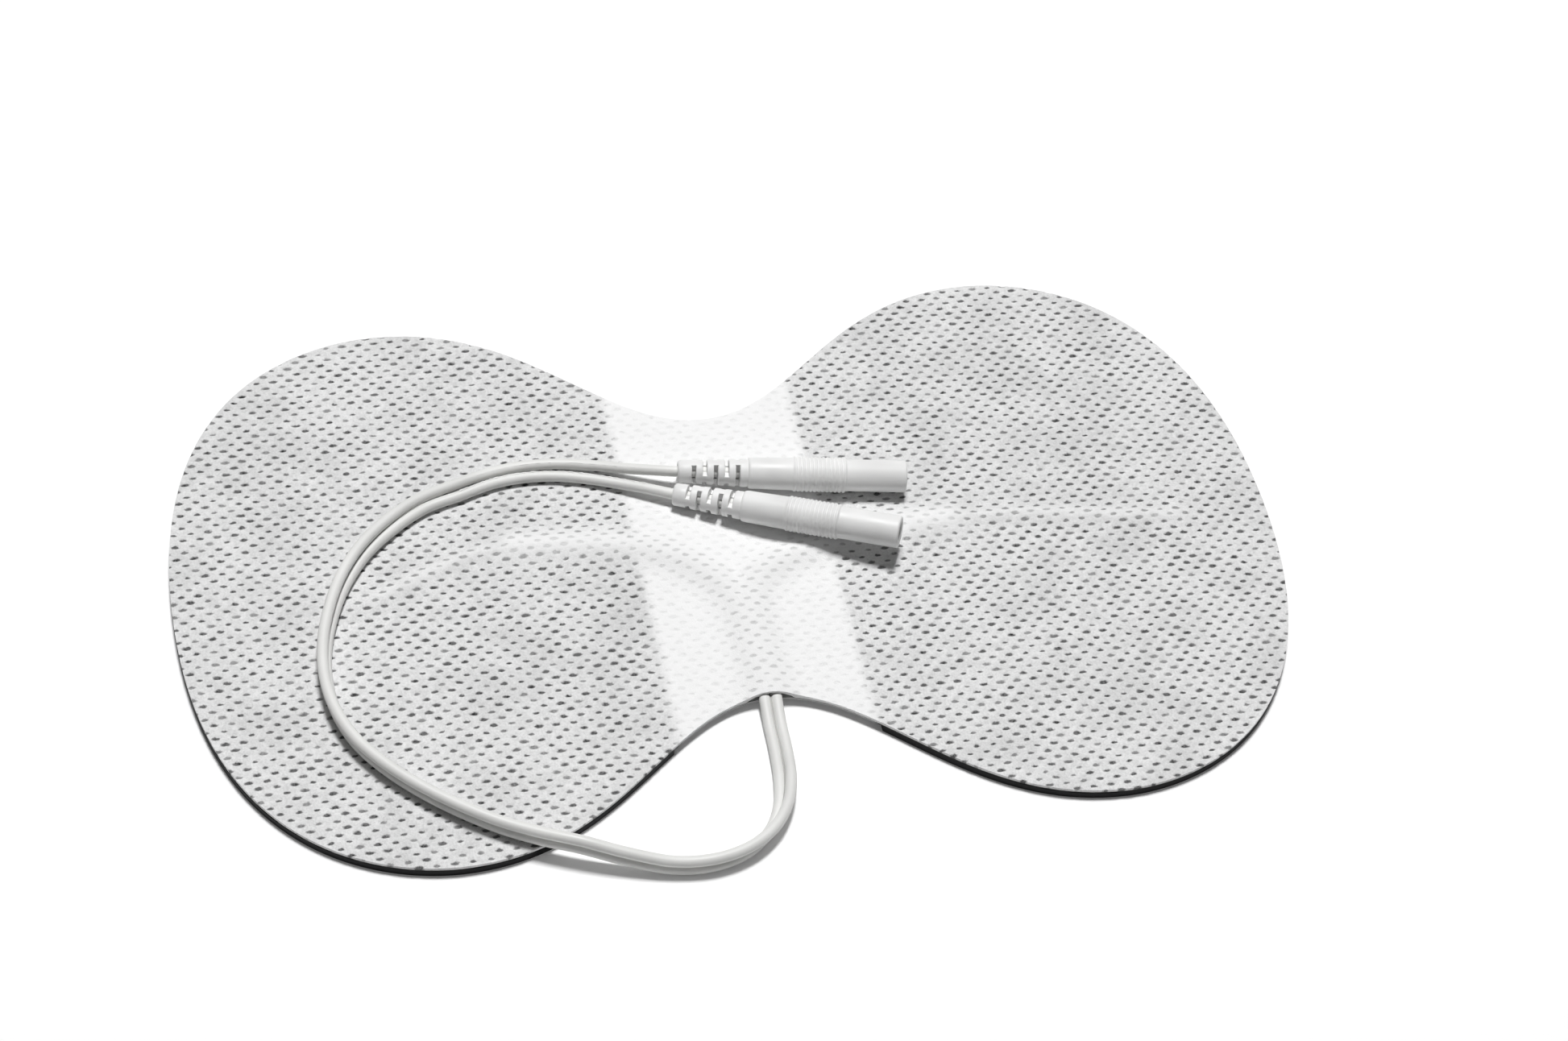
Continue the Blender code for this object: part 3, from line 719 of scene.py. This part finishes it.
def nearness(points, route):
    """How far each plan point lies from a route, how far along it the nearest place is, and how
    long the route is."""
    best = np.full(len(points), np.inf)
    along = np.zeros(len(points))
    passed = 0.0
    for start, end in zip(route, route[1:]):
        start, end = np.array(start[:2]), np.array(end[:2])
        way = end - start
        length = float(np.hypot(*way))
        share = np.clip((points - start) @ way / length**2, 0, 1)
        distance = np.hypot(*(points - start - share[:, None] * way).T)
        nearer = distance < best
        best[nearer] = distance[nearer]
        along[nearer] = passed + share[nearer] * length
        passed += length
    return best, along, passed


def lift_over_leads(points):
    """How far the leads lift the fabric at each plan point, from 0 to LEAD_LIFT."""
    lifts = []
    for side, inner in INNER_ROUTES.items():
        route = smooth_points(in_plan([(inner[0][0], TENTS_FROM_Y)] + inner), MM)
        distance, _, _ = nearness(points, route)
        lifts.append(LEAD_LIFT * np.exp(-(distance / LEAD_TENT_WIDTH) ** 2))
        route = smooth_points(in_plan(STRAND_ROUTES[side]), MM)
        route.append(route[-1] + (route[-1] - route[-3]).normalized() * STRAND_FADE)
        distance, along, length = nearness(points, route)
        fade = np.clip((length - along) / STRAND_FADE, 0, 1)
        fade = fade * fade * (3 - 2 * fade)
        lifts.append(STRAND_LIFT * fade * np.exp(-(distance / STRAND_TENT_WIDTH) ** 2))
    # A soft maximum, so that neighbouring tents run into one another
    sharpness = 4
    return sum(lift**sharpness for lift in lifts) ** (1 / sharpness)


def dimples_at(points, settings, rng):
    """How deep each plan point is pressed by the dimple nearest to it."""
    steps = np.array([STEP_A, STEP_B]).T * MM
    cells = np.linalg.solve(steps, points.T)
    nearest = np.round(cells)
    offset = steps @ (cells - nearest)
    low = nearest.min(axis=1).astype(int)
    index = (nearest.T - low).astype(int)
    count = index.max(axis=0) + 1
    strength = rng.uniform(*DIMPLE_STRENGTHS, tuple(count))[index[:, 0], index[:, 1]]
    half = np.array([settings.dimple_length, settings.dimple_width]) / 2
    reach = np.hypot(offset[0] / half[0], offset[1] / half[1])
    press = np.clip((DIMPLE_RIM - reach) / DIMPLE_FLANK, 0, 1)
    return settings.dimple_depth * strength * press * press * (3 - 2 * press)


def fabric_block(settings):
    """A block whose top is the embossed face, wider than the pad."""
    across = (np.array(STEP_B) - STEP_A) * MM
    upward = (np.array(STEP_B) + STEP_A) * MM
    columns = 2 * math.ceil(PAD_LENGTH / 2 / across[0] + 1)
    rows = 2 * math.ceil(PAD_WIDTH / 2 / upward[1] + 1)
    deselect_all()
    bpy.ops.mesh.primitive_grid_add(
        x_subdivisions=columns * settings.cells, y_subdivisions=rows * settings.cells, size=1)
    block = bpy.context.active_object
    mesh = block.data
    places = np.empty(len(mesh.vertices) * 3)
    mesh.vertices.foreach_get("co", places)
    places = places.reshape(-1, 3)
    plan = places[:, :1] * columns * across + places[:, 1:2] * rows * upward
    lift = lift_over_leads(plan)
    press = dimples_at(plan, settings, np.random.default_rng(DIMPLE_SEED))
    press *= 1 - LOSS_OVER_LEAD * lift / LEAD_LIFT
    over_film = np.clip((abs(plan[:, 0]) - FILM_EDGE_X) / MM + 0.5, 0, 1)
    press *= WAIST_DIMPLE_SHARE + (1 - WAIST_DIMPLE_SHARE) * over_film
    places[:, :2] = plan
    places[:, 2] = FABRIC_TOP + lift - press
    mesh.vertices.foreach_set("co", places.ravel())
    # The material reads from this attribute where the leads lift the sheet
    attribute = mesh.attributes.new("lift", "FLOAT", "POINT")
    attribute.data.foreach_set("value", (lift / LEAD_LIFT).astype(np.float32))
    mesh.update()
    bpy.ops.object.mode_set(mode="EDIT")
    bpy.ops.mesh.select_all(action="DESELECT")
    bpy.ops.mesh.select_mode(type="EDGE")
    bpy.ops.mesh.select_non_manifold()
    bpy.ops.mesh.extrude_region_move(
        TRANSFORM_OT_translate={"value": (0, 0, -FABRIC_BLOCK_DEPTH)})
    bpy.ops.mesh.edge_face_add()
    bpy.ops.object.mode_set(mode="OBJECT")
    return block


def hollow_under_leads():
    """The space under the fabric's tents: one tube for each stretch of lead."""
    kinds = [("lead", UNPARTED_ROUTE, TWIN_HOLLOW_RADIUS)]
    for side, inner in INNER_ROUTES.items():
        parted = [point for point in inner if point[1] > PARTED_FROM_Y]
        kinds.append(("lead", parted, LEAD_HOLLOW_RADIUS))
        kinds.append(("strand", STRAND_ROUTES[side], STRAND_HOLLOW_RADIUS))
    tubes = []
    for kind, route, radius in kinds:
        points = smooth_points(in_plan(route, HOLLOW_TOPS[kind] - radius), HOLLOW_STEP)
        tubes.append(tube(f"{kind}_hollow", points, radius, 10))
    return tubes


def make_fabric(settings):
    """The embossed sheet, cut to the pad's outline and hollow over the leads."""
    sheet = fabric_block(settings)
    edge = outline_solid("edge", FABRIC_BASE, FABRIC_TOP + CUT_CLEARANCE)
    boolean(sheet, edge, "INTERSECT")
    for cutter in hollow_under_leads():
        boolean(sheet, cutter, "DIFFERENCE")
    clear_slivers(sheet)
    smooth(sheet, degrees=60)
    return sheet


class PAD_OT_add_fabric(bpy.types.Operator):
    """Adds the embossed top sheet, lifted over the leads"""

    bl_idname = "electrode_pad.add_fabric"
    bl_label = "Add Fabric"

    def execute(self, context):
        settings = context.scene.pad_fabric
        sheet = name_piece(
            make_fabric(settings), "embossed_backing", fabric_material(settings))
        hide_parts("backing_fabric")
        return {"FINISHED"}


# The gel, the films and the strip

def make_gel(side, settings):
    """One lobe of gel with a rounded edge and a groove where the lead presses the film down."""
    sign = SIGNS[side]
    gel = outline_solid(f"gel_{side}", 0, GEL_TOP)
    edit_all(gel)
    bpy.ops.mesh.bisect(plane_co=(sign * GEL_EDGE_X, 0, 0), plane_no=(-sign, 0, 0),
                        use_fill=True, clear_outer=True)
    bpy.ops.object.mode_set(mode="OBJECT")
    edge = gel.modifiers.new("edge", "BEVEL")
    edge.width = settings.gel_edge
    edge.segments = 3
    edge.limit_method = "ANGLE"
    edge.angle_limit = math.radians(50)
    apply_modifiers(gel)
    recalculate(gel)
    run = smooth_points(in_plan(INNER_ROUTES[side] + STRAND_ROUTES[side][:1], INNER_HEIGHT), MM)
    boolean(gel, tube("groove", run, GROOVE_RADIUS, 6), "DIFFERENCE")
    smooth(gel, degrees=40)
    return gel


class PAD_OT_add_layers(bpy.types.Operator):
    """Adds the gel of both lobes and finishes the films and the waist strip"""

    bl_idname = "electrode_pad.add_layers"
    bl_label = "Add Gel and Films"

    def execute(self, context):
        settings = context.scene.pad_layers
        tacky = plain_layer_material(
            "tacky_gel", settings.gel, roughness=0.6, grain_size=3 * MM, height=0.05 * MM,
            specular=0.15)
        film = plain_layer_material(
            "carbon_film", settings.film, roughness=0.6, grain_size=0.4 * MM, height=0.01 * MM,
            specular=0.3)
        # The strip's grey colour is painted shade under the waist's hem
        strip = plain_layer_material(
            "waist_strip", settings.strip, roughness=0.9, grain_size=0.3 * MM,
            height=0.03 * MM, specular=0.2)
        for side in SIGNS:
            gel = name_piece(make_gel(side, settings), f"gel_lobe_{side}", tacky)
            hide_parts(f"gel_{side}")
            dress(f"carbon_film_{side}", film)
        dress("waist_strip", strip)
        return {"FINISHED"}


# The twin lead

def twin_middle():
    """The twin's middle line with its heights, its lower wire lying on table or pad."""
    middle = []
    for i, (x, y, turn) in enumerate(TWIN_ROUTE):
        share = min(max((i - PAD_EDGE_FROM) / (PAD_EDGE_TO - PAD_EDGE_FROM), 0), 1)
        lying = TABLE_HEIGHT + (PAD_HEIGHT - TABLE_HEIGHT) * share if i else INNER_HEIGHT
        raised = WIRE_PITCH / 2 * math.sin(math.radians(turn))
        middle.append(Vector((x * MM, y * MM, lying + raised)))
    return middle


def connector_axis(side):
    """The matrix that lays a piece modelled along +Z on a connector's place."""
    pose = CONNECTORS[side]
    heading = Matrix.Rotation(math.radians(pose["heading"]), 4, "Z")
    lay_down = Matrix.Rotation(math.radians(90) - pose["tilt"], 4, "Y")
    roll = Matrix.Rotation(math.radians(pose["roll"]), 4, "Z")
    return Matrix.Translation(Vector(pose["back"]) * MM) @ heading @ lay_down @ roll


def wire_route(side):
    """One wire's route: off the twin's middle line, then parted, then in its connector."""
    middle = twin_middle()
    route = []
    for i, point in enumerate(middle):
        ahead = middle[min(i + 1, len(middle) - 1)] - middle[max(i - 1, 0)]
        turn = math.radians(TWIN_ROUTE[i][2])
        off_middle = Vector((-ahead.y, ahead.x, 0)).normalized() * math.cos(turn)
        off_middle.z = math.sin(turn)
        route.append(point + off_middle * SIGNS[side] * WIRE_PITCH / 2)
    route += [
        Vector((x * MM, y * MM, PAD_HEIGHT + rise * MM)) for x, y, rise in PARTED_ROUTES[side]
    ]
    axis = connector_axis(side)
    route.append(axis @ Vector((0, 0, -BACK_GAP)))
    route += [axis @ Vector((0, 0, WIRE_END_IN_HOUSING * share)) for share in HOUSED_SHARES]
    return route


def torn_web(side, rng):
    """The torn rest of the web: a thin ragged rib on a parted wire, most of it on the left one."""
    run = smooth_points(wire_route(side), TORN_STEP)
    plan = [Vector((point.x, point.y, 0)) for point in run]
    first, *_, last = in_plan(point[:2] for point in PARTED_ROUTES[side])
    begin = min(range(len(run)), key=lambda i: (plan[i] - first).length)
    finish = min(range(len(run)), key=lambda i: (plan[i] - last).length)
    points, radii = [], []
    for i in range(begin, finish):
        ahead = run[i + 1] - run[i - 1]
        inward = Vector((-ahead.y, ahead.x, 0)).normalized() * -SIGNS[side]
        inward.z = TORN_STEEPNESS
        points.append(run[i] + inward.normalized() * TORN_DISTANCE)
        radii.append(rng.uniform(*TORN_SHARES[side]))
    return tube("torn_web", points, TORN_RADIUS, 2, radii)


class PAD_OT_add_lead(bpy.types.Operator):
    """Adds the two wires of the free lead and the web between them"""

    bl_idname = "electrode_pad.add_lead"
    bl_label = "Add Twin Lead"

    def execute(self, context):
        settings = context.scene.pad_lead
        insulation = plain_layer_material(
            "lead_insulation", settings.insulation, roughness=0.45, grain_size=0.5 * MM,
            height=0.012 * MM, specular=0.4)
        # The web's darker colour is painted shade in the groove between the wires
        seam = plain_layer_material(
            "web_groove_shade", settings.seam, roughness=0.6, grain_size=0.5 * MM, height=0.012 * MM,
            specular=0.3)
        rng = random.Random(TORN_SEED)
        web = tube("web", smooth_points(twin_middle(), WIRE_STEP), settings.web / 2, 3)
        name_piece(web, "lead_web", seam)
        for side in CONNECTORS:
            run = smooth_points(wire_route(side), WIRE_STEP)
            wire = tube("wire", run, settings.diameter / 2, 6)
            name_piece(wire, f"free_wire_{side}", insulation)
            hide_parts(f"lead_wire_{side}")
            torn = name_piece(torn_web(side, rng), f"torn_web_{side}", insulation)
            dress(f"inner_lead_{side}", insulation)
        return {"FINISHED"}


# The connectors

def housing_rings(settings):
    """Radius and height of each ring of a housing, up its outside and back down its bore."""
    grip = settings.grip_diameter / 2
    pitch = GRIP_LENGTH / settings.ribs
    ribs = [(grip - drop * MM, GRIP_BASE + i * pitch + share * pitch)
            for i in range(settings.ribs) for share, drop in RIB_RINGS]
    body, barrel = ([(radius * MM, height * MM) for radius, height in rings]
                    for rings in (BODY_RINGS, BARREL_RINGS))
    return body + ribs + barrel


def turn_rings(rings, sides):
    """Extrudes a circle ring by ring through the rings, and closes it on itself."""
    deselect_all()
    radius, height = rings[0]
    bpy.ops.mesh.primitive_circle_add(vertices=sides, radius=radius, location=(0, 0, height))
    obj = bpy.context.active_object
    settle(obj)
    edit_all(obj)
    for (radius, height), (next_radius, next_height) in zip(rings, rings[1:] + rings[:1]):
        bpy.ops.mesh.extrude_region_move(
            TRANSFORM_OT_translate={"value": (0, 0, next_height - height)})
        share = next_radius / radius
        bpy.ops.transform.resize(value=(share, share, 1), center_override=(0, 0, next_height))
    bpy.ops.object.mode_set(mode="OBJECT")
    recalculate(obj)
    return obj


def relief_radius(height):
    """The strain relief's outer radius at a height."""
    (foot, low), (head, high) = RELIEF_FOOT, RELIEF_HEAD
    return foot * MM + (head - foot) * (height - low * MM) / (high - low)


def slot_cutter(middle, quarter_turned):
    """A washer with a flared rim, parted by the slab that leaves the two webs standing."""
    face = relief_radius(middle)
    profile = [(SLOT_FLOOR_RADIUS, SLOT_HALF_WIDTH)]
    profile += [(face + out * MM, SLOT_HALF_WIDTH + wider * MM) for out, wider in SLOT_FLARE]
    rings = [(radius, middle - half) for radius, half in profile]
    rings += [(radius, middle + half) for radius, half in reversed(profile)]
    washer = turn_rings(rings, SLOT_SIDES)
    deselect_all()
    bpy.ops.mesh.primitive_cube_add(size=1, location=(0, 0, middle))
    slab = bpy.context.active_object
    slab.scale = (SLOT_WEB_WIDTH, 8 * MM, 2 * MM)  # past the washer on both other axes
    slab.rotation_euler.z = math.radians(90) if quarter_turned else 0
    settle(slab)
    boolean(washer, slab, "DIFFERENCE")
    return washer


def make_housing(side, settings):
    """One moulded housing with its slots, laid on its connector's place."""
    housing = turn_rings(housing_rings(settings), HOUSING_SIDES)
    for i in range(settings.slots):
        middle = (FIRST_SLOT + i * SLOT_PITCH) * MM
        boolean(housing, slot_cutter(middle, i % 2 == 1), "DIFFERENCE")
    clear_slivers(housing)
    housing.matrix_world = connector_axis(side)
    settle(housing)
    smooth(housing, degrees=40)
    return housing


class PAD_OT_add_connectors(bpy.types.Operator):
    """Adds the two moulded pin sockets and finishes their metal sleeves"""

    bl_idname = "electrode_pad.add_connectors"
    bl_label = "Add Pin Sockets"

    def execute(self, context):
        settings = context.scene.pad_connectors
        plastic = plain_layer_material(
            "moulded_housing", settings.plastic, roughness=0.45, grain_size=0.35 * MM,
            height=0.01 * MM, specular=0.4)
        metal = metal_material(settings)
        for side in CONNECTORS:
            housing = make_housing(side, settings)
            name_piece(housing, f"pin_socket_{side}", plastic)
            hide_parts(f"connector_housing_{side}")
            dress(f"socket_contact_{side}", metal)
            dress(f"conductor_{side}", metal)
        return {"FINISHED"}


# The stage

def floor_material(settings):
    """A pale floor that looks white to the camera and keeps the object's shadow."""
    material, tree, shader = new_material("pale_floor")
    place = object_place(tree)
    paler = [min(1, value * 1.01) for value in settings.floor]
    put(tree, shader.inputs["Base Color"],
        blend_colour(tree, noise(tree, place, 0.4), settings.floor, paler))
    shader.inputs["Roughness"].default_value = 0.9
    shader.inputs["Specular IOR Level"].default_value = 0.0
    light = tree.nodes.new("ShaderNodeLightPath")
    seen = math_node(tree, "MAXIMUM", light.outputs["Is Camera Ray"],
                     light.outputs["Is Glossy Ray"])
    seen = math_node(tree, "MAXIMUM", seen, light.outputs["Is Transmission Ray"])
    # Away from the pad, where the light falls off, the floor is lifted to white
    lift = spread(tree, vector_node(tree, "LENGTH", place), LIFT_GROWS_FROM, LIFT_GROWS_TO,
                  settings.floor_lift, FAR_FLOOR_LIFT)
    shader.inputs["Emission Color"].default_value = (1, 1, 1, 1)
    put(tree, shader.inputs["Emission Strength"], product(tree, seen, lift))
    return material


def studio_world(settings):
    """Light that fades from overhead to the horizon, and plain white where the camera sees it."""
    world = bpy.data.worlds.new("studio")
    world.use_nodes = True
    tree = world.node_tree
    way = tree.nodes.new("ShaderNodeTexCoord").outputs["Generated"]
    height = vector_node(tree, "DOT_PRODUCT", way, (0, 0, 1))
    fading = spread(
        tree, height, 0.0, 1.0, settings.horizon, settings.fill, interpolation="LINEAR")
    seen = tree.nodes.new("ShaderNodeLightPath").outputs["Is Camera Ray"]
    back = tree.nodes["Background"]
    put(tree, back.inputs["Strength"], math_node(tree, "MAXIMUM", fading, seen))
    back.inputs["Color"].default_value = (1, 1, 1, 1)
    return world


def add_light(name, place, size, power):
    """A square soft light that points at the middle of the pad."""
    light = bpy.data.lights.new(name, "AREA")
    light.shape = "SQUARE"
    light.size = size
    light.energy = power
    obj = bpy.data.objects.new(name, light)
    obj.location = place
    obj.rotation_euler = (-Vector(place)).to_track_quat("-Z", "Y").to_euler()
    bpy.context.scene.collection.objects.link(obj)


def add_camera():
    """The camera at the photograph's angle, rolled a little."""
    data = bpy.data.cameras.new("camera")
    data.lens = CAMERA_LENS
    data.sensor_width = 36
    data.clip_start = 0.01
    obj = bpy.data.objects.new("camera", data)
    place = Vector(CAMERA_PLACE) * MM
    way = Vector(CAMERA_TARGET) * MM - place
    turn = way.to_track_quat("-Z", "Y") @ Matrix.Rotation(
        math.radians(CAMERA_ROLL), 4, "Z").to_quaternion()
    obj.matrix_world = Matrix.LocRotScale(place, turn, None)
    bpy.context.scene.collection.objects.link(obj)
    bpy.context.scene.camera = obj


class PAD_OT_add_stage(bpy.types.Operator):
    """Adds the floor, the light and the camera"""

    bl_idname = "electrode_pad.add_stage"
    bl_label = "Add Stage"

    def execute(self, context):
        settings = context.scene.pad_stage
        deselect_all()
        bpy.ops.mesh.primitive_plane_add(size=FLOOR_SIZE, location=(0, 0, 0))
        floor = context.active_object
        floor.name = "floor"
        floor.data.materials.append(floor_material(settings))
        add_light("key", KEY_PLACE, KEY_SIZE, settings.key_power)
        context.scene.world = studio_world(settings)
        context.scene.view_settings.view_transform = "Standard"
        add_camera()
        return {"FINISHED"}


class PAD_PT_panel(bpy.types.Panel):
    """Lists the pad's pieces and their settings"""

    bl_label = "Electrode Pad"
    bl_idname = "PAD_PT_panel"
    bl_space_type = "VIEW_3D"
    bl_region_type = "UI"
    bl_category = "Electrode Pad"

    def draw(self, context):
        for attribute, _, operator in SECTIONS:
            box = self.layout.box()
            settings = getattr(context.scene, attribute)
            for name in settings.__annotations__:
                box.prop(settings, name)
            box.operator(operator)


SECTIONS = (
    ("pad_stage", StageSettings, "electrode_pad.add_stage"),
    ("pad_lead", LeadSettings, "electrode_pad.add_lead"),
    ("pad_fabric", FabricSettings, "electrode_pad.add_fabric"),
    ("pad_layers", LayerSettings, "electrode_pad.add_layers"),
    ("pad_connectors", ConnectorSettings, "electrode_pad.add_connectors"),
)
CLASSES = (
    FabricSettings, LayerSettings, LeadSettings, ConnectorSettings, StageSettings,
    PAD_OT_add_fabric, PAD_OT_add_layers, PAD_OT_add_lead, PAD_OT_add_connectors,
    PAD_OT_add_stage, PAD_PT_panel,
)


def register():
    for item in CLASSES:
        bpy.utils.register_class(item)
    for attribute, settings, _ in SECTIONS:
        setattr(bpy.types.Scene, attribute, PointerProperty(type=settings))


def unregister():
    for attribute, _, _ in SECTIONS:
        delattr(bpy.types.Scene, attribute)
    for item in reversed(CLASSES):
        bpy.utils.unregister_class(item)


def main():
    register()
    bpy.ops.electrode_pad.add_stage()
    bpy.ops.electrode_pad.add_connectors()
    bpy.ops.electrode_pad.add_lead()
    bpy.ops.electrode_pad.add_fabric()
    bpy.ops.electrode_pad.add_layers()


if __name__ == "__main__":
    main()
